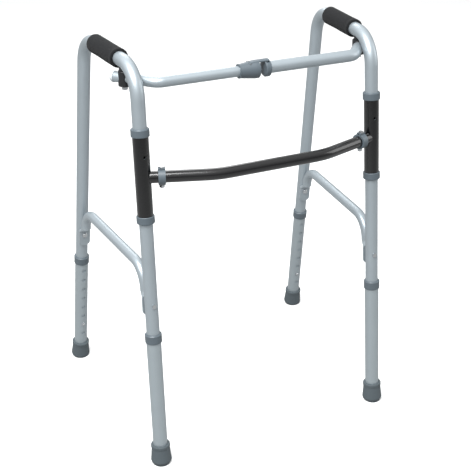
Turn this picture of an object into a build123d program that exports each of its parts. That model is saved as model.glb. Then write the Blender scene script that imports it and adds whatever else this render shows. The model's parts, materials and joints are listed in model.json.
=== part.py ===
from build123d import *
import math
import os

# A folding walking frame: two side frames with foam grips turn in the sleeves of a bowed
# front cross member, and a two-piece top bar with a clip in the middle ties the handles.
# Millimetres. +Z is up, the front faces -Y, and left is -X, as seen from the front.
# The origin is the middle of the footprint, on the floor.
# A side frame is drawn in its own plane: X across it, Y rearwards, Z up, front foot at 0.

# Overall sizes
HANDLE_HEIGHT = 788.0
FOOT_WIDTH = 495.0
FOOT_DEPTH = 441.0
FRONT_LEAN = 5.5
REAR_LEAN = 9.3
SPLAY = 1.35
TOE_OUT = 4.6

# Tubes: diameter and wall
FRAME_DIA = 25.4
FRAME_WALL = 1.5
FRAME_BEND = 58.0
LEG_DIA = 28.6
LEG_WALL = 1.2
SLEEVE_DIA = 29.4
SLEEVE_WALL = 1.4
CROSSBAR_DIA = 22.2
LEFT_BAR_DIA = 19.0
RIGHT_BAR_DIA = 22.2
BAR_WALL = 1.5
BRACE_DIA = 20.0

# Clearances: a running fit, and the gap that parts on one body keep
RUNNING = 0.05
GAP = 0.05

# Adjustable legs
HOLE_COUNT = 8
HOLE_PITCH = 25.4
HOLE_IN_USE = 7
BUTTON_DIA = 7.6
BUTTON_HOLE_DIA = 8.1
BUTTON_PROUD = 2.5
BUTTON_TRAVEL = 4.5
LEG_TOP = 283.0
TOP_HOLE_DROP = 30.0
FRAME_END_BELOW_BUTTON = 38.0
TIP_DIA = 41.5
TIP_RIM_DIA = 36.4
TIP_HEIGHT = 43.0
TIP_FLOOR = 7.0
GUIDE_DIA = 32.4
GUIDE_HEIGHT = 18.0
GUIDE_LAP = 13.5

# Grips
GRIP_DIA = 36.0
GRIP_BEHIND_PIVOT = 21.0
GRIP_BEFORE_BEND = 4.6

# Side brace
BRACE_HEIGHT = 412.0
BRACE_BEND = 46.0
BRACE_TAB_LENGTH = 92.0
TAB_WIDTH = 24.0
TAB_THICK = 5.0
TAB_STRAIGHT = 34.0
TAB_CORNER = 9.0
NECK_LENGTH = 14.0
RIVET_DIA = 6.0
RIVET_HEAD_DIA = 12.0
RIVET_UP = 26.0

# Front cross member
SLEEVE_START = 515.0
SLEEVE_LENGTH = 168.0
BUSH_DIA = 33.6
BUSH_HEIGHT = 14.5
BUSH_FLANGE = 4.0
CROSSBAR_HEIGHT = 594.0
CROSSBAR_BOW = 42.0
CROSSBAR_FLAT = 218.0
CROSSBAR_BEND = 140.0
STUB_LENGTH = 31.0
SPIGOT_LENGTH = 30.0
CLAMP_DIA = 30.0
CLAMP_WIDTH = 13.0
CLAMP_EAR = 2.5
BOLT_DIA = 6.0
INDEX_HOLE_DIA = 6.0
INDEX_HOLE_AT = 637.0

# Top bar, its pivots and its clip
BAR_DROP = 30.0
PIVOT_BACK = 49.0
BAR_END_ANGLE = 50.0
BAR_TAIL = 20.0
BAR_BEND = 26.0
HUB_WALL = 2.0
HUB_BASE_DROP = 44.0
HUB_TOP_DROP = 16.5
SADDLE_WIDTH = 20.0
CONE_START = -43.0
CONE_END = -5.0
CONE_SMALL_DIA = 25.0
LATCH_DIA = 33.2
NOSE_AT = 3.0
RING_START = 7.2
RING_WIDTH = 10.0
RING_FLAT = 13.6
CLIP_WIDTH = 14.0
CLIP_THICK = 2.9
CLIP_PIN_X = -22.0
CLIP_PIN_DIA = 2.5
KNUCKLE_DIA = 4.4
LIP_X = 10.8
LIP_WIDE = 1.6
NUT_BARREL = 8.5

frame_r = FRAME_DIA / 2
leg_r = LEG_DIA / 2
leg_bore = leg_r - LEG_WALL
sleeve_r = SLEEVE_DIA / 2
front_slope = math.radians(FRONT_LEAN)
rear_slope = math.radians(REAR_LEAN)
top_hole = LEG_TOP - TOP_HOLE_DROP
button_at = top_hole - (HOLE_IN_USE - 1) * HOLE_PITCH
frame_end = button_at - FRAME_END_BELOW_BUTTON
LEGS = ("front", "rear")

os.makedirs("parts", exist_ok=True)


# ---------------------------------------------------------------- helpers
def leg_direction(leg):
    """Unit vector up a leg's axis, in the side frame's own plane."""
    slope = front_slope if leg == "front" else -rear_slope
    return Vector(0, math.sin(slope), math.cos(slope))


def leg_point(leg, along):
    """Point on a leg's axis, at a distance up from the floor."""
    foot = Vector(0, 0 if leg == "front" else FOOT_DEPTH, 0)
    return foot + leg_direction(leg) * along


def leg_plane(leg, along):
    """Plane across a leg, whose Z runs up the leg's axis."""
    return Plane(origin=leg_point(leg, along), x_dir=(1, 0, 0), z_dir=leg_direction(leg))


def inward(leg):
    """Unit vector from a leg's axis to the inside of its side frame."""
    side = leg_plane(leg, 0).y_dir
    return side if leg == "front" else side * -1


def axis_height(leg, height):
    """Distance along a leg's axis at which it stands at a height."""
    return height / leg_direction(leg).Z


def ring_tube(where, outer, inner, length):
    """Round tube of the given radii that grows from a plane."""
    return extrude(where * (Circle(outer) - Circle(inner)), length)


def turned(points):
    """Solid turned about Z from an outline of (radius, height) points."""
    outline = Polyline([(r, 0, z) for r, z in points], close=True)
    return revolve(make_face(outline), Axis.Z)


def rod(start, direction, radius, length):
    """Round bar from a point along a direction."""
    return extrude(Plane(origin=start, z_dir=direction) * Circle(radius), length)


def hex_prism(start, direction, across_flats, length):
    """Hexagonal nut or bolt head."""
    where = Plane(origin=start, z_dir=direction)
    return extrude(where * RegularPolygon(across_flats / 2, 6, major_radius=False), length)


def swept_tube(path, outer, inner):
    """Tube along a path, with its wall between two radii."""
    start = Plane(origin=path @ 0, z_dir=path % 0)
    body = sweep(start * Circle(outer), path=path)
    if inner:
        body -= sweep(start * Circle(inner), path=path)
    return body


# ---------------------------------------------------------------- side frame pieces
front_corner = Vector(0, HANDLE_HEIGHT * math.tan(front_slope), HANDLE_HEIGHT)
rear_corner = Vector(0, FOOT_DEPTH - HANDLE_HEIGHT * math.tan(rear_slope), HANDLE_HEIGHT)
rear_bend_start = rear_corner.Y - FRAME_BEND * math.tan(math.radians(90 - REAR_LEAN) / 2)
pivot_at = front_corner.Y + PIVOT_BACK
grip_start = pivot_at + GRIP_BEHIND_PIVOT
grip_length = rear_bend_start - GRIP_BEFORE_BEND - grip_start
bar_height = HANDLE_HEIGHT - BAR_DROP
bar_line_y = front_corner.Y
hub_base = HANDLE_HEIGHT - HUB_BASE_DROP
hub_top = HANDLE_HEIGHT - HUB_TOP_DROP


def side_frame():
    """One bent tube: front leg, handle and rear leg, drilled for buttons and rivets."""
    path = FilletPolyline(
        leg_point("front", frame_end), front_corner, rear_corner, leg_point("rear", frame_end), radius=FRAME_BEND
    )
    body = swept_tube(path, frame_r, frame_r - FRAME_WALL)
    for leg in LEGS:
        body -= rod(leg_point(leg, button_at), inward(leg), BUTTON_HOLE_DIA / 2, FRAME_DIA)
        rivet_from = leg_point(leg, rivet_station(leg)) - inward(leg) * FRAME_DIA
        body -= rod(rivet_from, inward(leg), RIVET_DIA / 2 + GAP, 2 * FRAME_DIA)
    body -= rod(leg_point("front", INDEX_HOLE_AT), inward("front") * -1, INDEX_HOLE_DIA / 2, FRAME_DIA)
    body -= rod((0, pivot_at, hub_top), (0, 0, 1), NUT_BARREL / 2 + GAP, HANDLE_HEIGHT - hub_top)
    return body


def grip():
    """Foam sleeve over the straight of the handle."""
    front_end = Plane(origin=(0, grip_start, HANDLE_HEIGHT), x_dir=(1, 0, 0), z_dir=(0, 1, 0))
    return ring_tube(front_end, GRIP_DIA / 2, frame_r + GAP, grip_length)


def rivet_station(leg):
    """Distance up a leg's axis of the rivet through the brace's flattened end."""
    return axis_height(leg, BRACE_HEIGHT) - BRACE_TAB_LENGTH + RIVET_UP


def brace():
    """Level tube between the legs, with ends bent down, flattened and saddled on the legs."""
    beside = frame_r + BRACE_DIA / 2 + 0.5
    drop = BRACE_TAB_LENGTH - TAB_STRAIGHT - NECK_LENGTH
    corners = {leg: leg_point(leg, axis_height(leg, BRACE_HEIGHT)) + inward(leg) * beside for leg in LEGS}
    ends = {leg: corners[leg] - leg_direction(leg) * drop for leg in LEGS}
    path = FilletPolyline(ends["rear"], corners["rear"], corners["front"], ends["front"], radius=BRACE_BEND)
    body = swept_tube(path, BRACE_DIA / 2, BRACE_DIA / 2 - BAR_WALL)
    for leg in LEGS:
        out = inward(leg)
        down = leg_direction(leg) * -1
        round_end = Plane(origin=ends[leg], x_dir=(1, 0, 0), z_dir=down)
        flat_at = leg_point(leg, axis_height(leg, BRACE_HEIGHT) - drop - NECK_LENGTH)
        flat_at += out * (frame_r + TAB_THICK / 2 - 1.0)
        flat = Plane(origin=flat_at, x_dir=(1, 0, 0), z_dir=down)
        neck = loft([round_end * Circle(BRACE_DIA / 2), flat * Ellipse(TAB_WIDTH / 2, TAB_THICK / 2)])
        face = Plane(origin=flat_at, x_dir=(1, 0, 0), z_dir=flat.y_dir)
        tab_middle = TAB_STRAIGHT / 2 - TAB_CORNER / 2
        outline = RectangleRounded(TAB_WIDTH, TAB_STRAIGHT + TAB_CORNER, TAB_CORNER)
        turn = 1 if face.y_dir.dot(down) > 0 else -1
        tab = extrude(face * Pos(0, turn * tab_middle) * outline, TAB_THICK / 2, both=True)
        lug = neck + tab
        lug -= rod(leg_point(leg, 0), leg_direction(leg), frame_r + GAP, HANDLE_HEIGHT)
        body += lug
        body -= rod(leg_point(leg, rivet_station(leg)), out, RIVET_DIA / 2 + GAP, FRAME_DIA * 2)
    return body


def rivet(leg):
    """Round-headed rivet through the brace's flattened end and the leg."""
    out = inward(leg)
    seat = leg_point(leg, rivet_station(leg))
    shank = rod(seat - out * (frame_r + 1), out, RIVET_DIA / 2, FRAME_DIA + TAB_THICK)
    flat = seat + out * (frame_r + TAB_THICK - 1.0)
    head = rod(flat, out, RIVET_HEAD_DIA / 2, 2.4)
    head = fillet(head.edges().filter_by(GeomType.CIRCLE).sort_by(
        lambda e: (e.center() - flat).dot(out))[-1], 1.8)
    tail = rod(seat - out * (frame_r - 0.4), out * -1, RIVET_HEAD_DIA / 2 - 1.5, 2.2)
    tail -= rod(leg_point(leg, 0), leg_direction(leg), frame_r + GAP, HANDLE_HEIGHT)
    return shank + head + tail


def button_spring(leg):
    """V-shaped strip inside a leg that pushes its snap button out."""
    where = leg_plane(leg, button_at)
    turn = 1 if leg == "front" else -1
    outer = [(8.0, -9), (8.0, 9), (-1.3, 43), (-2.1, 43), (-10.3, -9)]
    inner = [(-9.5, -9), (-1.7, 40), (7.2, 9), (7.2, -9)]
    strip = make_face(Polyline(outer + inner, close=True))
    across = Plane(origin=where.origin, x_dir=where.y_dir * turn, z_dir=where.x_dir * turn)
    return extrude(across * strip, 4, both=True)


def button(leg):
    """Snap button: a domed pin with a flange that bears on the inside of the tube."""
    proud = leg_r + BUTTON_PROUD
    pin = turned([(0, 8.4), (5.1, 8.4), (5.1, 9.6), (BUTTON_DIA / 2, 9.6),
                  (BUTTON_DIA / 2, proud - 1.6), (BUTTON_DIA / 2 - 1.6, proud), (0, proud)])
    return Plane(origin=leg_point(leg, button_at), x_dir=(1, 0, 0), z_dir=inward(leg)) * pin


def leg_tube(leg):
    """Outer leg tube with its row of height holes down the inner side."""
    body = ring_tube(leg_plane(leg, TIP_FLOOR), leg_r, leg_bore, LEG_TOP - TIP_FLOOR)
    for step in range(HOLE_COUNT):
        at = leg_point(leg, top_hole - step * HOLE_PITCH)
        body -= rod(at, inward(leg), BUTTON_HOLE_DIA / 2, LEG_DIA)
    return body


def leg_guide(leg):
    """Plastic collar on top of the outer leg tube, bored to guide the frame tube."""
    base = LEG_TOP - GUIDE_LAP
    top = GUIDE_HEIGHT
    outline = [(leg_r + GAP, 0), (GUIDE_DIA / 2 - 0.8, 0), (GUIDE_DIA / 2, 0.8), (GUIDE_DIA / 2, top - 1.6),
               (GUIDE_DIA / 2 - 1.6, top), (frame_r + RUNNING, top), (frame_r + RUNNING, GUIDE_LAP + GAP),
               (leg_r + GAP, GUIDE_LAP + GAP)]
    return leg_plane(leg, base) * turned(outline)


def rubber_tip(leg):
    """Rubber foot with a beaded rim, cut flat where it meets the floor."""
    bore = leg_r + GAP
    rim = TIP_RIM_DIA / 2
    wide = TIP_DIA / 2
    outline = [(0, -5), (wide - 3.5, -5), (wide - 3.5, 0.5), (wide - 2.4, 2.0), (wide - 0.9, 4.2), (wide, 7.5),
               (wide - 0.3, 10), (rim, TIP_HEIGHT - 8), (rim + 0.9, TIP_HEIGHT - 6.5), (rim + 0.9, TIP_HEIGHT - 2),
               (rim - 0.2, TIP_HEIGHT), (bore, TIP_HEIGHT), (bore, TIP_FLOOR - GAP), (0, TIP_FLOOR - GAP)]
    body = leg_plane(leg, 0) * turned(outline)
    return body


# ---------------------------------------------------------------- placing
def place_left(shape):
    """Stands a piece drawn in the side frame's plane on the left."""
    return Location((-FOOT_WIDTH / 2, 0, 0)) * Rotation(0, 0, TOE_OUT) * Rotation(0, SPLAY, 0) * shape


def place(side, shape):
    """Stands a piece on its side; the right side is the left one mirrored."""
    left = place_left(shape)
    return left if side == "left" else mirror(left, about=Plane.YZ)


def world(point):
    """A point of the left side frame's plane, in the standing frame."""
    spot = place_left(Location(tuple(point)))
    return spot.position


# ---------------------------------------------------------------- front cross member
def sleeve():
    """Steel sleeve round a front leg, with the stub that carries the cross member."""
    body = ring_tube(leg_plane("front", SLEEVE_START), sleeve_r, sleeve_r - SLEEVE_WALL, SLEEVE_LENGTH)
    body -= rod(leg_point("front", INDEX_HOLE_AT), inward("front") * -1, INDEX_HOLE_DIA / 2, SLEEVE_DIA)
    return place_left(body)


def bushes():
    """Plastic bushes in both ends of a sleeve, bored to run on the front leg."""
    outline = [(frame_r + RUNNING, 0), (BUSH_DIA / 2 - 1.4, 0), (BUSH_DIA / 2, 1.4), (BUSH_DIA / 2, BUSH_HEIGHT - 0.8),
               (BUSH_DIA / 2 - 0.8, BUSH_HEIGHT), (sleeve_r + GAP, BUSH_HEIGHT), (sleeve_r + GAP, BUSH_FLANGE),
               (frame_r + RUNNING, BUSH_FLANGE)]
    low = leg_plane("front", SLEEVE_START - BUSH_FLANGE - GAP) * turned(outline)
    top = SLEEVE_START + SLEEVE_LENGTH + BUSH_FLANGE + GAP
    down = Plane(origin=leg_point("front", top), x_dir=(1, 0, 0), z_dir=leg_direction("front") * -1)
    return [low, down * turned(outline)]


axis_mid = world(leg_point("front", axis_height("front", CROSSBAR_HEIGHT)))
bow_corner = Vector(-CROSSBAR_FLAT / 2, axis_mid.Y - CROSSBAR_BOW, CROSSBAR_HEIGHT)
stub_root = Vector(axis_mid.X, axis_mid.Y, CROSSBAR_HEIGHT)
stub_way = (bow_corner - stub_root).normalized()
stub_end = stub_root + stub_way * STUB_LENGTH
clamp_mid = stub_end + stub_way * (CLAMP_WIDTH / 2 - 4.0)
cross_r = CROSSBAR_DIA / 2
cross_bore = cross_r - BAR_WALL


def mirrored_point(point):
    return Vector(-point.X, point.Y, point.Z)


def left_sleeve():
    """The left sleeve with its welded stub and the spigot that enters the cross member."""
    stub = rod(stub_root, stub_way, cross_r, STUB_LENGTH - GAP)
    spigot = rod(stub_root, stub_way, cross_bore - GAP, STUB_LENGTH + SPIGOT_LENGTH)
    arm = stub + spigot
    arm -= place_left(rod(leg_point("front", 0), leg_direction("front"), sleeve_r - SLEEVE_WALL, HANDLE_HEIGHT))
    arm -= rod(clamp_mid - Vector(0, 0, CLAMP_DIA), (0, 0, 1), BOLT_DIA / 2 + GAP, 2 * CLAMP_DIA)
    return sleeve() + arm


def crossbar():
    """Front tube, level and bowed forwards between the sleeves."""
    path = FilletPolyline(stub_end, bow_corner, mirrored_point(bow_corner), mirrored_point(stub_end),
                          radius=CROSSBAR_BEND)
    body = swept_tube(path, cross_r, cross_bore)
    for mid in (clamp_mid, mirrored_point(clamp_mid)):
        body -= rod(mid - Vector(0, 0, CLAMP_DIA), (0, 0, 1), BOLT_DIA / 2 + GAP, 2 * CLAMP_DIA)
    return body


def clamp():
    """Plastic clamp ring over the joint of stub and cross member, with two ears on top."""
    start = clamp_mid - stub_way * (CLAMP_WIDTH / 2)
    body = rod(start, stub_way, CLAMP_DIA / 2, CLAMP_WIDTH)
    where = Plane(origin=start, x_dir=(0, 0, 1), z_dir=stub_way)
    ears = extrude(where * Pos(CLAMP_DIA / 2, 0) * Rectangle(2 * CLAMP_EAR, 10), CLAMP_WIDTH)
    body = body + ears
    body -= rod(start - stub_way, stub_way, cross_r + GAP, CLAMP_WIDTH + 2)
    slot = Box(CLAMP_WIDTH * 2, 1.8, CLAMP_EAR * 3)
    turn = math.degrees(math.atan2(stub_way.Y, stub_way.X))
    body -= Pos(clamp_mid.X, clamp_mid.Y, CROSSBAR_HEIGHT + cross_r + CLAMP_EAR * 1.5 + 1.5) * Rotation(0, 0, turn) * slot
    body -= rod(clamp_mid - Vector(0, 0, CLAMP_DIA), (0, 0, 1), BOLT_DIA / 2 + GAP, 2 * CLAMP_DIA)
    return body


def clamp_bolt():
    """Cap screw that stands through clamp, cross member and spigot."""
    top = CROSSBAR_HEIGHT + CLAMP_DIA / 2 + CLAMP_EAR
    length = CLAMP_DIA + CLAMP_EAR + 6
    seat = Vector(clamp_mid.X, clamp_mid.Y, top)
    return rod(seat, (0, 0, -1), BOLT_DIA / 2, length) + hex_prism(seat, (0, 0, 1), 9, 2.6)


def clamp_nut():
    """Nut under the clamp ring."""
    seat = Vector(clamp_mid.X, clamp_mid.Y, CROSSBAR_HEIGHT - CLAMP_DIA / 2 - GAP)
    return hex_prism(seat, (0, 0, -1), 9, 4.5) - rod(seat, (0, 0, -1), BOLT_DIA / 2 + GAP, 5)


# ---------------------------------------------------------------- top bar
pivot_plane_height = bar_height / math.cos(math.radians(SPLAY))
pivot = world((0, pivot_at, pivot_plane_height))
end_turn = math.radians(BAR_END_ANGLE)
bar_corner = Vector(pivot.X + (pivot.Y - bar_line_y) / math.tan(end_turn), bar_line_y, bar_height)
tail_way = Vector(-math.cos(end_turn), math.sin(end_turn), 0)
pivot_low = Vector(0, pivot_at, hub_base)


handle_core = swept_tube(
    FilletPolyline(leg_point("front", frame_end), front_corner, rear_corner, leg_point("rear", frame_end),
                   radius=FRAME_BEND),
    frame_r + GAP, 0)


def bar_solid(side, radius, tip_x):
    """Half of the top bar, as a solid of a radius, from its capped tail to its tip."""
    path = FilletPolyline(Vector(pivot.X, pivot.Y, bar_height) + tail_way * BAR_TAIL, bar_corner,
                          Vector(tip_x, bar_line_y, bar_height), radius=BAR_BEND)
    body = swept_tube(path, radius, 0)
    return body if side == "left" else mirror(body, about=Plane.YZ)


def half_bar(side):
    """Half of the top bar, drilled for its pivot bolt; the left one ends in a round nose."""
    radius = (LEFT_BAR_DIA if side == "left" else RIGHT_BAR_DIA) / 2
    tip = NOSE_AT - radius if side == "left" else -(RING_START + 1.0)
    body = bar_solid(side, radius, tip) - bar_solid(side, radius - BAR_WALL, tip - (2.0 if side == "right" else 0.0))
    if side == "left":
        nose = Pos(tip, bar_line_y, bar_height) * Sphere(radius)
        body += nose & (Pos(tip + radius / 2, bar_line_y, bar_height) * Box(radius, 3 * radius, 3 * radius))
    body -= place(side, rod(pivot_low - Vector(0, 0, 5), (0, 0, 1), BOLT_DIA / 2 + RUNNING, 60))
    return body


def end_cap(side):
    """Domed plastic cap on the bar's tail."""
    radius = (LEFT_BAR_DIA if side == "left" else RIGHT_BAR_DIA) / 2
    outline = [(0, GAP), (radius + 0.9, GAP), (radius + 0.9, 2.4), (radius + 0.4, 4.4), (radius - 1.4, 6.6),
               (radius - 4.4, 8.1), (0, 8.6)]
    cap = turned(outline) + Pos(0, 0, -8 + GAP) * Cylinder(radius - BAR_WALL - GAP, 8, align=(Align.CENTER, Align.CENTER, Align.MIN))
    where = Plane(origin=Vector(pivot.X, pivot.Y, bar_height) + tail_way * BAR_TAIL, z_dir=tail_way)
    cap = where * cap
    return cap if side == "left" else mirror(cap, about=Plane.YZ)


def hub(side):
    """Bracket that hangs the bar under the handle and turns with it on the pivot bolt."""
    radius = (LEFT_BAR_DIA if side == "left" else RIGHT_BAR_DIA) / 2
    body = rod(pivot_low, (0, 0, 1), radius + HUB_WALL, hub_top - hub_base)
    body = fillet(body.edges().filter_by(GeomType.CIRCLE), 1.2)
    body -= rod(pivot_low - Vector(0, 0, 5), (0, 0, 1), BOLT_DIA / 2 + RUNNING, 60)
    return place(side, body) - bar_solid(side, radius + GAP, 0 - RING_START)


def saddle():
    """Washer between the round handle and the flat top of the hub."""
    under = rod((0, pivot_at, hub_top + 0.3), (0, 0, 1), SADDLE_WIDTH / 2, 8)
    under -= rod((0, pivot_at, hub_top - 5), (0, 0, 1), NUT_BARREL / 2 + GAP, 20)
    return under - handle_core


def pivot_bolt():
    """Cap screw up through hub, bar and saddle into the handle's rivet nut."""
    seat = pivot_low - Vector(0, 0, 0.3)
    return rod(seat, (0, 0, 1), BOLT_DIA / 2, hub_top - hub_base + 14) + hex_prism(seat, (0, 0, -1), 10, 6)


def rivet_nut():
    """Threaded insert set in the underside of the handle."""
    at = Vector(0, pivot_at, HANDLE_HEIGHT - frame_r + 0.1)
    body = rod(at, (0, 0, 1), NUT_BARREL / 2, 11)
    return body - rod(at - Vector(0, 0, 1), (0, 0, 1), BOLT_DIA / 2 + GAP, 14)


# ---------------------------------------------------------------- clip in the middle of the bar
latch_r = LATCH_DIA / 2
clip_pin_up = LEFT_BAR_DIA / 2 + 2.5


def on_bar(shape):
    """Turns a piece drawn about Z to lie along the top bar, with 0 at mid span."""
    return Pos(0, bar_line_y, bar_height) * Rotation(0, 90, 0) * shape


def cone_body(swell):
    """The latch socket's outer form, as a solid, grown by an amount."""
    small = CONE_SMALL_DIA / 2
    return on_bar(turned([(0, CONE_START), (small + 0.7 + swell, CONE_START), (small + 0.3 + swell, CONE_START + 2.0),
                          (latch_r + swell, CONE_END - 7), (latch_r + swell, CONE_END), (0, CONE_END)]))


def slot_box(x_from, x_to, width, low, high=40.0):
    """Box over the bar between two stations, from a height above the bar's axis."""
    size = (x_to - x_from, width, high - low)
    middle = ((x_from + x_to) / 2, bar_line_y, bar_height + (low + high) / 2)
    return Pos(*middle) * Box(*size)


def across_pin(radius, width):
    """Round bar along the clip pin's axis, centred on the top bar."""
    start = Vector(CLIP_PIN_X, bar_line_y - width / 2, bar_height + clip_pin_up)
    return rod(start, (0, 1, 0), radius, width)


def clip_form():
    """The spring clip: a strap flush with the socket, whose lip drops in the ring's groove."""
    nose_end = RING_START + RING_WIDTH - 1
    over = on_bar(turned([(0, CONE_END), (latch_r + 0.2, CONE_END), (latch_r + 0.2, nose_end), (0, nose_end)]))
    body = (cone_body(0.2) + over) & slot_box(CLIP_PIN_X, nose_end, CLIP_WIDTH, 0)
    low = latch_r - CLIP_THICK
    body -= slot_box(CONE_END - 12, nose_end + 3, 40, -40, low)
    body -= slot_box(CLIP_PIN_X - 10, CONE_END - 12, 40, -40, clip_pin_up - 1.5)
    body += slot_box(LIP_X, LIP_X + LIP_WIDE, CLIP_WIDTH, RING_FLAT - 1.5, low + 0.5)
    body += across_pin(KNUCKLE_DIA / 2, CLIP_WIDTH)
    return body - across_pin(CLIP_PIN_DIA / 2 + RUNNING, CLIP_WIDTH * 2)


def latch_socket():
    """Conical plastic socket on the left half, slotted and eared for the clip."""
    ears = CLIP_WIDTH + 3.6
    body = cone_body(0) + across_pin(KNUCKLE_DIA / 2, ears)
    half = KNUCKLE_DIA / 2
    body += slot_box(CLIP_PIN_X - half, CLIP_PIN_X + half, ears, 4, clip_pin_up)
    body -= bar_solid("left", LEFT_BAR_DIA / 2 + GAP, 0)
    body -= slot_box(CLIP_PIN_X - half - 1.0, 0, CLIP_WIDTH + 0.8, LEFT_BAR_DIA / 2 - 0.5)
    return body - across_pin(CLIP_PIN_DIA / 2 + 0.02, CLIP_WIDTH * 2)


def clip_pin():
    """Steel pin that the clip turns on."""
    return across_pin(CLIP_PIN_DIA / 2, CLIP_WIDTH + 4.0)


def latch_ring():
    """Plastic ring on the right half, with a flat and a groove for the clip's lip."""
    outline = [(0, RING_START), (latch_r - 2.4, RING_START), (latch_r - 0.4, RING_START + 2.0),
               (latch_r - 0.4, RING_START + RING_WIDTH - 0.8), (latch_r - 1.2, RING_START + RING_WIDTH),
               (0, RING_START + RING_WIDTH)]
    body = on_bar(turned(outline)) - bar_solid("right", RIGHT_BAR_DIA / 2 + GAP, -(RING_START + 0.99))
    body -= slot_box(RING_START - 5, RING_START + 20, 60, RING_FLAT)
    return body - slot_box(LIP_X - 2.0, LIP_X + LIP_WIDE + 3.2, 60, RING_FLAT - 1.9)


# ---------------------------------------------------------------- build and write
floor_cut = Pos(0, 0, -50) * Box(3000, 3000, 100)


def save(name, *solids):
    """Writes a node: one solid, or a group of separate like solids."""
    shape = solids[0] if len(solids) == 1 else Compound(children=list(solids))
    export_step(shape, f"parts/{name}.step")
    return shape


parts = {}
for side in ("left", "right"):
    parts[f"{side}_side_frame"] = [place(side, side_frame())]
    parts[f"{side}_grip"] = [place(side, grip())]
    parts[f"{side}_brace"] = [place(side, brace())]
    parts[f"{side}_brace_rivets"] = [place(side, rivet(leg)) for leg in LEGS]
    parts[f"{side}_pivot_saddle"] = [place(side, saddle())]
    parts[f"{side}_pivot_bolt"] = [place(side, pivot_bolt())]
    parts[f"{side}_pivot_nut"] = [place(side, rivet_nut())]
    parts[f"{side}_button_springs"] = [place(side, button_spring(leg)) for leg in LEGS]
    for leg in LEGS:
        parts[f"{side}_{leg}_leg_tube"] = [place(side, leg_tube(leg))]
        parts[f"{side}_{leg}_guide_collar"] = [place(side, leg_guide(leg))]
        parts[f"{side}_{leg}_tip"] = [place(side, rubber_tip(leg)) - floor_cut]
        parts[f"{side}_{leg}_button"] = [place(side, button(leg))]
    parts[f"{side}_sleeve_bushes"] = [place(side, bush) for bush in bushes()]
    parts[f"{side}_top_bar"] = [half_bar(side)]
    parts[f"{side}_bar_cap"] = [end_cap(side)]
    parts[f"{side}_pivot_bracket"] = [hub(side)]

parts["left_sleeve"] = [left_sleeve()]
parts["right_sleeve"] = [mirror(left_sleeve(), about=Plane.YZ)]
parts["front_crossbar"] = [crossbar()]
parts["crossbar_clamps"] = [clamp(), mirror(clamp(), about=Plane.YZ)]
parts["clamp_bolts"] = [clamp_bolt(), mirror(clamp_bolt(), about=Plane.YZ)]
parts["clamp_nuts"] = [clamp_nut(), mirror(clamp_nut(), about=Plane.YZ)]
parts["latch_cone"] = [latch_socket()]
parts["latch_ring"] = [latch_ring()]
parts["latch_clip"] = [clip_form()]
parts["clip_pin"] = [clip_pin()]

# The origin goes to the middle of the footprint, which the four tips give
tips = [parts[f"{side}_{leg}_tip"][0] for side in ("left", "right") for leg in LEGS]
reach = [tip.bounding_box() for tip in tips]
middle_y = (min(box.min.Y for box in reach) + max(box.max.Y for box in reach)) / 2
for name, solids in parts.items():
    moved = [Pos(0, -middle_y, 0) * solid for solid in solids]
    save(name, *moved)
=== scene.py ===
import json
import math

import bpy
import numpy as np
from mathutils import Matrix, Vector


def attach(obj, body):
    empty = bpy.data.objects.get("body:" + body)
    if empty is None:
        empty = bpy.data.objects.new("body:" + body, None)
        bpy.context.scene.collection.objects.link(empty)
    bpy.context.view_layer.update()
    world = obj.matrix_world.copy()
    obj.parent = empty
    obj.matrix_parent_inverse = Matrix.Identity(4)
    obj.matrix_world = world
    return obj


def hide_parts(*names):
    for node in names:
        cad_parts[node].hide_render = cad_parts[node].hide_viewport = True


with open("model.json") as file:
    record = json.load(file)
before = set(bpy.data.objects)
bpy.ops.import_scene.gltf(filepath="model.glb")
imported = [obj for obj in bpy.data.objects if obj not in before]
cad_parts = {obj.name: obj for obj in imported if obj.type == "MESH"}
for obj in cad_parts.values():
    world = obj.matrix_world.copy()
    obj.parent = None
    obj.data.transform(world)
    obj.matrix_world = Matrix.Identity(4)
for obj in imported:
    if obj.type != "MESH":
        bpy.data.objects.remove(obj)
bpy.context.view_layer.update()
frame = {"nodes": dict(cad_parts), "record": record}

bl_info = {
    "name": "Folding Walking Frame",
    "version": (1, 0, 0),
    "blender": (4, 5, 0),
    "location": "View3D > Sidebar > Walking Frame",
    "description": "Foam grips, finishes, light and camera for a folding walking frame",
    "category": "Add Mesh",
}

SIDES = ("left", "right")
LEGS = ("front", "rear")
MM = 0.001

# How far a metal's roughness drifts either way
GLOSS_DRIFT = 0.05

# Grip: how many rows and columns of points, and the plain stretch left at each end of the rings, in metres
SKIN_ROWS = 400
BORE_ROWS = 40
LIP_ROWS = 9
FACE_ROWS = 6
AROUND = 96
RING_MARGIN = 6 * MM
RING_FADE = 3 * MM

# Lights: name, place, width and which setting gives the power
LIGHT_AIM = (0, 0, 0.4)
LIGHTS = (
    ("key_light", (-1.2, -1.0, 2.9), 1.5, "key_power"),
    ("fill_light", (2.4, -1.0, 1.4), 1.6, "fill_power"),
    ("rim_light", (0.6, 2.4, 2.2), 1.4, "fill_power"),
)
FLOOR_SIZE = 30
SENSOR_WIDTH = 36.0


# ---------------------------------------------------------------- settings
def length(name, description, default):
    """A length property, in metres, with its default given in millimetres."""
    return bpy.props.FloatProperty(name=name, description=description, default=default * MM, min=0.0,
                                   unit="LENGTH", subtype="DISTANCE", precision=4)


def angle(name, description, default):
    """An angle property, with its default given in degrees."""
    return bpy.props.FloatProperty(name=name, description=description, default=math.radians(default),
                                   unit="ROTATION", subtype="ANGLE")


def colour(name, description, default):
    """A colour property, with its default given as an sRGB hex string."""
    return bpy.props.FloatVectorProperty(name=name, description=description, default=linear(default), size=3,
                                         min=0.0, max=1.0, subtype="COLOR")


def amount(name, description, default, **limits):
    """A plain number that is never negative."""
    return bpy.props.FloatProperty(name=name, description=description, default=default, min=0.0, **limits)


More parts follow.
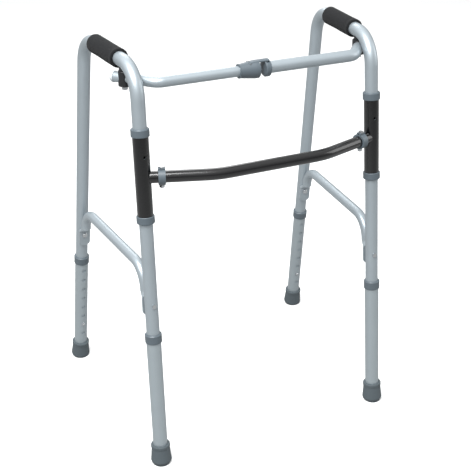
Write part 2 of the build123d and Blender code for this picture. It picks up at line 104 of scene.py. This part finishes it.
def linear(text):
    """The linear colour of an sRGB hex string such as #9aa5ad."""
    parts = [int(text[i:i + 2], 16) / 255 for i in (1, 3, 5)]
    return tuple(c / 12.92 if c <= 0.04045 else ((c + 0.055) / 1.055) ** 2.4 for c in parts)


class WalkerGripSettings(bpy.types.PropertyGroup):
    """Sizes of the foam grips."""

    radius: length("Radius", "Outer radius of the foam", 18.0)
    bore: length("Bore", "Radius of the tube that the foam is pushed on", 12.75)
    start: length("Start", "Distance of the grip's front end behind the front foot", 145.9)
    run: length("Length", "Length of the grip along the handle", 112.1)
    handle_height: length("Handle height", "Height of the handle's axis along the side frame", 788.0)
    rib_pitch: length("Rib pitch", "Distance from one moulded ring of the foam to the next", 4.0)
    rib_depth: length("Rib depth", "Depth of the moulded rings", 0.5)
    lip: length("Lip", "Rounding of the foam's cut ends", 2.4)
    palm_wear: length("Palm wear", "How far use has pressed the top of the foam in", 0.7)


class WalkerFinishSettings(bpy.types.PropertyGroup):
    """Colours of the finishes."""

    anodised: colour("Anodised tube", "Side frames, braces and top bar", "#a2acb2")
    leg: colour("Leg tube", "Drawn outer leg tubes", "#a3adb2")
    hammertone: colour("Hammertone", "Powder coat of the front cross member and its sleeves", "#0d0e10")
    collar: colour("Collar plastic", "Collars, bushes and clip", "#535d64")
    bracket: colour("Bracket plastic", "Pivot brackets and clamps", "#1b1d1f")
    cap: colour("Cap plastic", "Domed bar end caps", "#c9ced1")
    foam: colour("Foam", "Hand grips", "#18191b")
    rubber: colour("Rubber", "Feet", "#4c555a")
    zinc: colour("Zinc plate", "Buttons, bolts, nuts and rivets", "#c3c7ca")


class WalkerStageSettings(bpy.types.PropertyGroup):
    """Camera, floor and light."""

    camera_place: bpy.props.FloatVectorProperty(name="Camera place", description="Where the camera stands",
                                                default=(-0.74585, -1.63594, 1.26651), size=3,
                                                unit="LENGTH", subtype="TRANSLATION")
    camera_heading: angle("Camera heading", "Turn of the camera about the vertical", -25.05)
    camera_tilt: angle("Camera tilt", "How far below level the camera looks", 26.99)
    lens: bpy.props.FloatProperty(name="Lens", description="Focal length on a 36 mm wide sensor",
                                  default=72.61, min=1.0, unit="CAMERA")
    floor: colour("Floor", "Colour of the floor", "#fafbfb")
    floor_bounce: amount("Floor bounce", "Share of its light that the floor throws up", 0.32, max=1.0,
                         subtype="FACTOR")
    backdrop: colour("Backdrop", "Colour of the surround", "#ffffff")
    room_low: amount("Room low", "Brightness of the room near the floor", 0.12)
    room_high: amount("Room high", "Brightness of the room overhead", 1.45)
    room_shade: amount("Room shade", "Share of light left on the shaded side", 0.5)
    key_power: amount("Key light", "Power of the large soft light", 125.0, unit="POWER")
    fill_power: amount("Fill light", "Power of the fill and rim lights", 18.0, unit="POWER")


# ---------------------------------------------------------------- materials
def add_node(tree, kind, links=(), **values):
    """Adds a node, sets its properties or inputs by name, and feeds (input, socket) pairs into it."""
    node = tree.nodes.new(kind)
    for key, value in values.items():
        if hasattr(node, key):
            setattr(node, key, value)
        else:
            node.inputs[key.replace("_", " ")].default_value = value
    for name, socket in links:
        tree.links.new(socket, node.inputs[name])
    return node


def new_material(name):
    """An empty node material and its Principled shader."""
    material = bpy.data.materials.new(name)
    material.use_nodes = True
    tree = material.node_tree
    shader = next(node for node in tree.nodes if node.type == "BSDF_PRINCIPLED")
    return material, tree, shader


def varied(tree, shader, coordinates, base, spread, size_mm):
    """Base colour that drifts a little in lightness over patches of a real size."""
    noise = add_node(tree, "ShaderNodeTexNoise", [("Vector", coordinates)], Scale=1 / (size_mm * MM),
                     Detail=3.0, Roughness=0.55)
    ramp = add_node(tree, "ShaderNodeMix", [("Factor", noise.outputs["Fac"])], data_type="RGBA")
    ramp.inputs["A"].default_value = (*[c * (1 - spread) for c in base], 1)
    ramp.inputs["B"].default_value = (*[min(1, c * (1 + spread)) for c in base], 1)
    tree.links.new(ramp.outputs["Result"], shader.inputs["Base Color"])


def relief(tree, shader, heights, distance_mm, soft_edge_mm=0.0):
    """Bump of (texture output, weight) pairs, on edges softened by a small radius."""
    total = None
    for socket, weight in heights:
        scaled = add_node(tree, "ShaderNodeMath", [(0, socket)], operation="MULTIPLY")
        scaled.inputs[1].default_value = weight
        if total is None:
            total = scaled.outputs[0]
        else:
            total = add_node(tree, "ShaderNodeMath", [(0, total), (1, scaled.outputs[0])]).outputs[0]
    bump = add_node(tree, "ShaderNodeBump", [("Height", total)], Distance=distance_mm * MM, Strength=1.0)
    if soft_edge_mm:
        edge = add_node(tree, "ShaderNodeBevel", Radius=soft_edge_mm * MM, samples=4)
        tree.links.new(edge.outputs["Normal"], bump.inputs["Normal"])
    tree.links.new(bump.outputs["Normal"], shader.inputs["Normal"])


def metal(name, base, roughness, grain_mm, soft_edge_mm):
    """Bare or plated metal: colour that drifts a little, and fine grain that breaks the highlight."""
    material, tree, shader = new_material(name)
    where = add_node(tree, "ShaderNodeTexCoord").outputs["Object"]
    shader.inputs["Metallic"].default_value = 1.0
    varied(tree, shader, where, base, 0.05, 60.0)
    # The grain carries fine unevenness in gloss, so that long highlights are not perfectly even
    grain = add_node(tree, "ShaderNodeTexNoise", [("Vector", where)], Scale=1 / (grain_mm * MM), Detail=4.0)
    gloss = add_node(tree, "ShaderNodeMapRange", [("Value", grain.outputs["Fac"])])
    gloss.inputs["To Min"].default_value = roughness - GLOSS_DRIFT
    gloss.inputs["To Max"].default_value = roughness + GLOSS_DRIFT
    tree.links.new(gloss.outputs["Result"], shader.inputs["Roughness"])
    relief(tree, shader, [(grain.outputs["Fac"], 1.0)], 0.02, soft_edge_mm)
    return material


def plastic(name, base, roughness, soft_edge_mm, texture_mm=0.8, depth_mm=0.04):
    """Moulded plastic or rubber: an even colour with the fine spark texture of the mould."""
    material, tree, shader = new_material(name)
    where = add_node(tree, "ShaderNodeTexCoord").outputs["Object"]
    shader.inputs["Roughness"].default_value = roughness
    varied(tree, shader, where, base, 0.04, 25.0)
    spark = add_node(tree, "ShaderNodeTexNoise", [("Vector", where)], Scale=1 / (texture_mm * MM), Detail=2.0)
    relief(tree, shader, [(spark.outputs["Fac"], 1.0)], depth_mm, soft_edge_mm)
    return material


def silver_paint(name, base):
    """Silver-grey paint on aluminium: metal flake under a satin skin, so highlights are wide and soft."""
    material, tree, shader = new_material(name)
    where = add_node(tree, "ShaderNodeTexCoord").outputs["Object"]
    shader.inputs["Metallic"].default_value = 0.55
    shader.inputs["Roughness"].default_value = 0.42
    shader.inputs["Coat Weight"].default_value = 0.25
    shader.inputs["Coat Roughness"].default_value = 0.3
    varied(tree, shader, where, base, 0.05, 40.0)
    # Orange peel of about 2 mm, just deep enough to break the edges of a highlight
    peel = add_node(tree, "ShaderNodeTexNoise", [("Vector", where)], Scale=1 / (2.0 * MM), Detail=2.0)
    relief(tree, shader, [(peel.outputs["Fac"], 1.0)], 0.03, 0.3)
    return material


def hammertone(name, base):
    """Hammertone powder coat: dark gloss paint whose surface pools into small dimples."""
    material, tree, shader = new_material(name)
    where = add_node(tree, "ShaderNodeTexCoord").outputs["Object"]
    shader.inputs["Metallic"].default_value = 0.5
    shader.inputs["Roughness"].default_value = 0.24
    shader.inputs["Coat Weight"].default_value = 1.0
    shader.inputs["Coat Roughness"].default_value = 0.12
    varied(tree, shader, where, base, 0.18, 4.0)
    # Dimples of about 2 mm with a finer orange peel between them
    dimples = add_node(tree, "ShaderNodeTexVoronoi", [("Vector", where)], feature="SMOOTH_F1",
                       Scale=1 / (2.2 * MM), Randomness=1.0)
    peel = add_node(tree, "ShaderNodeTexNoise", [("Vector", where)], Scale=1 / (1.2 * MM), Detail=2.0)
    relief(tree, shader, [(dimples.outputs["Distance"], 1.0), (peel.outputs["Fac"], 0.5)], 0.25, 0.4)
    return material


def foam(name, base):
    """Closed-cell foam skin: matt and dark, with open pores."""
    material, tree, shader = new_material(name)
    where = add_node(tree, "ShaderNodeTexCoord").outputs["Object"]
    shader.inputs["Roughness"].default_value = 0.92
    shader.inputs["Specular IOR Level"].default_value = 0.25
    shader.inputs["Sheen Weight"].default_value = 0.05
    shader.inputs["Sheen Roughness"].default_value = 0.5
    varied(tree, shader, where, base, 0.16, 9.0)
    # Pores of under a millimetre, over the soft lumps that heat gives the skin
    pores = add_node(tree, "ShaderNodeTexVoronoi", [("Vector", where)], Scale=1 / (0.9 * MM))
    lumps = add_node(tree, "ShaderNodeTexNoise", [("Vector", where)], Scale=1 / (3.5 * MM), Detail=3.0)
    relief(tree, shader, [(pores.outputs["Distance"], 0.6), (lumps.outputs["Fac"], 1.0)], 0.35)
    return material


def finish_nodes(names, material):
    """Gives CAD nodes a material on every slot."""
    for name in names:
        mesh = frame["nodes"][name].data
        if not mesh.materials:
            mesh.materials.append(material)
        for index in range(len(mesh.materials)):
            mesh.materials[index] = material


def per_side(*names):
    """Node names on both sides."""
    return [f"{side}_{name}" for side in SIDES for name in names]


def per_leg(*names):
    """Node names on all four legs."""
    return [f"{side}_{leg}_{name}" for side in SIDES for leg in LEGS for name in names]


# ---------------------------------------------------------------- foam grips
def side_plane(side):
    """Origin, rearward and upward unit vectors of a side frame's plane, from its feet and pivot axis."""
    mounts = {mount["name"]: np.array(mount["pos_m"]) for mount in frame["record"]["mounts"]}
    joints = {joint["name"]: joint for joint in frame["record"]["behaviour"]["joints"]}
    front = mounts[f"{side}_front_foot"]
    back = mounts[f"{side}_rear_foot"] - front
    up = np.array(joints[f"{side}_bar_swing"]["axis"])
    back = back - up * (back @ up)
    return front, back / np.linalg.norm(back), up


def grid_mesh(name, points):
    """Mesh of a grid of points that closes on itself both ways."""
    rows, columns = points.shape[:2]
    index = np.arange(rows * columns).reshape(rows, columns)
    next_row = np.roll(index, -1, 0)
    corners = (index, np.roll(index, -1, 1), np.roll(next_row, -1, 1), next_row)
    quads = np.stack([corner.ravel() for corner in corners], 1)
    mesh = bpy.data.meshes.new(name)
    mesh.vertices.add(rows * columns)
    mesh.vertices.foreach_set("co", points.reshape(-1).astype(np.float32))
    mesh.loops.add(quads.size)
    mesh.loops.foreach_set("vertex_index", quads.ravel().astype(np.int32))
    mesh.polygons.add(len(quads))
    mesh.polygons.foreach_set("loop_start", np.arange(0, quads.size, 4, dtype=np.int32))
    mesh.polygons.foreach_set("use_smooth", np.ones(len(quads), dtype=bool))
    mesh.update(calc_edges=True)
    mesh.validate()
    piece = bpy.data.objects.new(name, mesh)
    bpy.context.scene.collection.objects.link(piece)
    return piece


def grip_surface(side, sizes):
    """Foam grip as P(s, a) = C(s) + r(s, a) (cos a X + sin a Z), where C runs back along the handle.

    The outline (s, r) goes out from the bore over a rounded lip, along the skin, down the far lip and home
    inside the bore, so the grid closes both ways. On the skin r = outline
    - palm_wear * hump(s) * max(0, sin a)^2 - rib_depth * groove(s) + small waves.
    """
    foot, back, up = side_plane(side)
    across = np.cross(back, up)
    total = sizes.run
    turn = np.linspace(0, math.pi / 2, LIP_ROWS)
    lip_run = sizes.lip * (1 - np.cos(turn))
    lip_out = sizes.radius - sizes.lip * (1 - np.sin(turn))
    skin = np.linspace(sizes.lip, total - sizes.lip, SKIN_ROWS)[1:-1]
    bore = np.linspace(total, 0, BORE_ROWS)
    face = np.linspace(sizes.bore, sizes.radius - sizes.lip, FACE_ROWS)[1:-1]
    along = np.concatenate([np.zeros(len(face)), lip_run, skin, total - lip_run[::-1],
                            np.full(len(face), total), bore])
    outline = np.concatenate([face, lip_out, np.full(len(skin), sizes.radius), lip_out[::-1], face[::-1],
                              np.full(len(bore), sizes.bore)])
    on_skin = np.clip((outline - sizes.bore) / (sizes.radius - sizes.bore), 0, 1) ** 3
    centre = foot + (sizes.start + along)[:, None] * back + sizes.handle_height * up
    around = np.linspace(0, 2 * math.pi, AROUND, endpoint=False)
    hump = np.exp(-((along - total * 0.5) / (total * 0.32)) ** 2)
    wear = sizes.palm_wear * hump[:, None] * np.clip(np.sin(around), 0, None)[None] ** 2
    # The rings fade out towards each end, where the foam is left plain
    from_end = np.minimum(along, total - along)
    fade = np.clip((from_end - RING_MARGIN) / RING_FADE, 0, 1)
    groove = fade * (0.5 + 0.5 * np.cos(2 * math.pi * along / sizes.rib_pitch)) ** 4
    waves = 0.10 * MM * np.sin(along[:, None] / (11 * MM) + 2 * np.sin(around)[None])
    waves = waves + 0.08 * MM * np.cos(3 * around[None] + along[:, None] / (17 * MM)) - 0.18 * MM
    reach = outline[:, None] + on_skin[:, None] * (waves - wear - sizes.rib_depth * groove[:, None])
    return centre[:, None] + reach[..., None] * (
        np.cos(around)[None, :, None] * across + np.sin(around)[None, :, None] * up)


# ---------------------------------------------------------------- stage
def ranged(tree, socket, low, high, to_low, to_high):
    """Output of a node that carries low..high over to to_low..to_high."""
    node = add_node(tree, "ShaderNodeMapRange", [("Value", socket)])
    for name, value in (("From Min", low), ("From Max", high), ("To Min", to_low), ("To Max", to_high)):
        node.inputs[name].default_value = value
    return node.outputs["Result"]


def lay_floor(stage):
    """Pale floor that throws less light up at the object than a white sheet would."""
    bpy.ops.mesh.primitive_plane_add(size=FLOOR_SIZE)
    floor = bpy.context.object
    floor.name = "floor"
    material, tree, shader = new_material("pale_floor")
    shader.inputs["Roughness"].default_value = 0.7
    path = add_node(tree, "ShaderNodeLightPath")
    seen = add_node(tree, "ShaderNodeMix", [("Factor", path.outputs["Is Camera Ray"])], data_type="RGBA")
    seen.inputs["A"].default_value = (*[c * stage.floor_bounce for c in stage.floor], 1)
    seen.inputs["B"].default_value = (*stage.floor, 1)
    tree.links.new(seen.outputs["Result"], shader.inputs["Base Color"])
    floor.data.materials.append(material)


def hang_surround(scene, stage):
    """Plain backdrop for the camera, and for the object a room darker low down and at one side."""
    world = bpy.data.worlds.new("surround")
    scene.world = world
    world.use_nodes = True
    tree = world.node_tree
    surround = tree.nodes["Background"]
    surround.inputs["Strength"].default_value = 1.0
    path = add_node(tree, "ShaderNodeLightPath")
    where = add_node(tree, "ShaderNodeTexCoord").outputs["Generated"]
    split = add_node(tree, "ShaderNodeSeparateXYZ", [("Vector", where)])
    height = ranged(tree, split.outputs["Z"], -0.2, 0.9, stage.room_low, stage.room_high)
    side = ranged(tree, split.outputs["X"], -0.8, 0.9, 1.0, stage.room_shade)
    room = add_node(tree, "ShaderNodeMath", [(0, height), (1, side)], operation="MULTIPLY")
    seen = add_node(tree, "ShaderNodeMix", [("Factor", path.outputs["Is Camera Ray"])], data_type="RGBA")
    tree.links.new(room.outputs[0], seen.inputs["A"])
    seen.inputs["B"].default_value = (*stage.backdrop, 1)
    tree.links.new(seen.outputs["Result"], surround.inputs["Color"])


def hang_lights(scene, stage):
    """Area lights that face the middle of the object."""
    for name, place, size, power in LIGHTS:
        light = bpy.data.lights.new(name, "AREA")
        light.size = size
        light.energy = getattr(stage, power)
        lamp = bpy.data.objects.new(name, light)
        lamp.location = place
        lamp.rotation_euler = (Vector(LIGHT_AIM) - Vector(place)).to_track_quat("-Z", "Y").to_euler()
        scene.collection.objects.link(lamp)


def set_camera(scene, stage):
    """Camera that stands and looks as the settings say."""
    camera = bpy.data.objects.new("camera", bpy.data.cameras.new("camera"))
    camera.data.sensor_fit = "HORIZONTAL"
    camera.data.sensor_width = SENSOR_WIDTH
    camera.data.lens = stage.lens
    camera.location = stage.camera_place
    camera.rotation_euler = (math.pi / 2 - stage.camera_tilt, 0, stage.camera_heading)
    scene.collection.objects.link(camera)
    scene.camera = camera


# ---------------------------------------------------------------- operators
class WALKER_OT_tubes(bpy.types.Operator):
    """Finishes the aluminium tubes: side frames, braces, top bar and legs"""

    bl_idname = "walker.tubes"
    bl_label = "Aluminium tubes"

    def execute(self, context):
        look = context.scene.walker_finish
        satin = silver_paint("satin_silver_paint", look.anodised)
        finish_nodes(per_side("side_frame", "brace", "top_bar"), satin)
        finish_nodes(per_leg("leg_tube"), silver_paint("satin_silver_leg_paint", look.leg))
        return {"FINISHED"}


class WALKER_OT_cross_member(bpy.types.Operator):
    """Finishes the steel cross member and its sleeves in hammertone"""

    bl_idname = "walker.cross_member"
    bl_label = "Cross member"

    def execute(self, context):
        coat = hammertone("hammertone_powder_coat", context.scene.walker_finish.hammertone)
        finish_nodes(per_side("sleeve") + ["front_crossbar"], coat)
        return {"FINISHED"}


class WALKER_OT_mouldings(bpy.types.Operator):
    """Finishes the moulded collars, bushes, clamps, brackets, clip, caps and feet"""

    bl_idname = "walker.mouldings"
    bl_label = "Mouldings"

    def execute(self, context):
        look = context.scene.walker_finish
        grey = plastic("moulded_grey_nylon", look.collar, 0.42, 0.5)
        finish_nodes(per_leg("guide_collar") + per_side("sleeve_bushes"), grey)
        finish_nodes(["latch_cone", "latch_ring", "latch_clip", "crossbar_clamps"], grey)
        black = plastic("moulded_black_nylon", look.bracket, 0.38, 0.5)
        finish_nodes(per_side("pivot_bracket", "pivot_saddle"), black)
        finish_nodes(per_side("bar_cap"), plastic("moulded_pale_cap", look.cap, 0.3, 0.3, 1.2, 0.02))
        finish_nodes(per_leg("tip"), plastic("moulded_rubber", look.rubber, 0.62, 0.6, 0.7, 0.08))
        return {"FINISHED"}


class WALKER_OT_fasteners(bpy.types.Operator):
    """Finishes the plated bolts, nuts, rivets, snap buttons and springs"""

    bl_idname = "walker.fasteners"
    bl_label = "Fasteners"

    def execute(self, context):
        plate = metal("zinc_plated_steel", context.scene.walker_finish.zinc, 0.24, 0.6, 0.3)
        names = per_leg("button") + per_side("brace_rivets", "pivot_bolt", "pivot_nut", "button_springs")
        finish_nodes(names + ["clamp_bolts", "clamp_nuts", "clip_pin"], plate)
        return {"FINISHED"}


class WALKER_OT_grips(bpy.types.Operator):
    """Makes the two foam hand grips in place of their plain solids"""

    bl_idname = "walker.grips"
    bl_label = "Foam grips"

    def execute(self, context):
        sizes = context.scene.walker_grip
        skin = foam("closed_cell_foam", context.scene.walker_finish.foam)
        for side in SIDES:
            piece = grid_mesh(f"{side}_foam_grip", grip_surface(side, sizes))
            piece.data.materials.append(skin)
            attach(piece, f"{side}_side")
            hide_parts(f"{side}_grip")
        return {"FINISHED"}


class WALKER_OT_stage(bpy.types.Operator):
    """Sets the floor, the surround, the lights and the camera"""

    bl_idname = "walker.stage"
    bl_label = "Stage"

    def execute(self, context):
        scene = context.scene
        stage = scene.walker_stage
        lay_floor(stage)
        hang_surround(scene, stage)
        hang_lights(scene, stage)
        set_camera(scene, stage)
        scene.view_settings.view_transform = "Standard"
        return {"FINISHED"}


PIECES = (WALKER_OT_tubes, WALKER_OT_cross_member, WALKER_OT_mouldings, WALKER_OT_fasteners,
          WALKER_OT_grips, WALKER_OT_stage)


class WALKER_PT_panel(bpy.types.Panel):
    """Panel that lists the walking frame's settings and operators"""

    bl_idname = "WALKER_PT_panel"
    bl_label = "Walking Frame"
    bl_space_type = "VIEW_3D"
    bl_region_type = "UI"
    bl_category = "Walking Frame"

    def draw(self, context):
        for group in (context.scene.walker_grip, context.scene.walker_finish, context.scene.walker_stage):
            box = self.layout.box()
            for name in group.bl_rna.properties.keys():
                if name not in ("rna_type", "name"):
                    box.prop(group, name)
        for piece in PIECES:
            self.layout.operator(piece.bl_idname)


CLASSES = (WalkerGripSettings, WalkerFinishSettings, WalkerStageSettings, *PIECES, WALKER_PT_panel)


def register():
    """Registers the classes and hangs the settings on the scene."""
    for cls in CLASSES:
        bpy.utils.register_class(cls)
    bpy.types.Scene.walker_grip = bpy.props.PointerProperty(type=WalkerGripSettings)
    bpy.types.Scene.walker_finish = bpy.props.PointerProperty(type=WalkerFinishSettings)
    bpy.types.Scene.walker_stage = bpy.props.PointerProperty(type=WalkerStageSettings)


def unregister():
    """Takes the settings and the classes away again."""
    del bpy.types.Scene.walker_stage
    del bpy.types.Scene.walker_finish
    del bpy.types.Scene.walker_grip
    for cls in reversed(CLASSES):
        bpy.utils.unregister_class(cls)


def main():
    """Registers the add-on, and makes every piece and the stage."""
    register()
    bpy.ops.walker.tubes()
    bpy.ops.walker.cross_member()
    bpy.ops.walker.mouldings()
    bpy.ops.walker.fasteners()
    bpy.ops.walker.grips()
    bpy.ops.walker.stage()


if __name__ == "__main__":
    main()
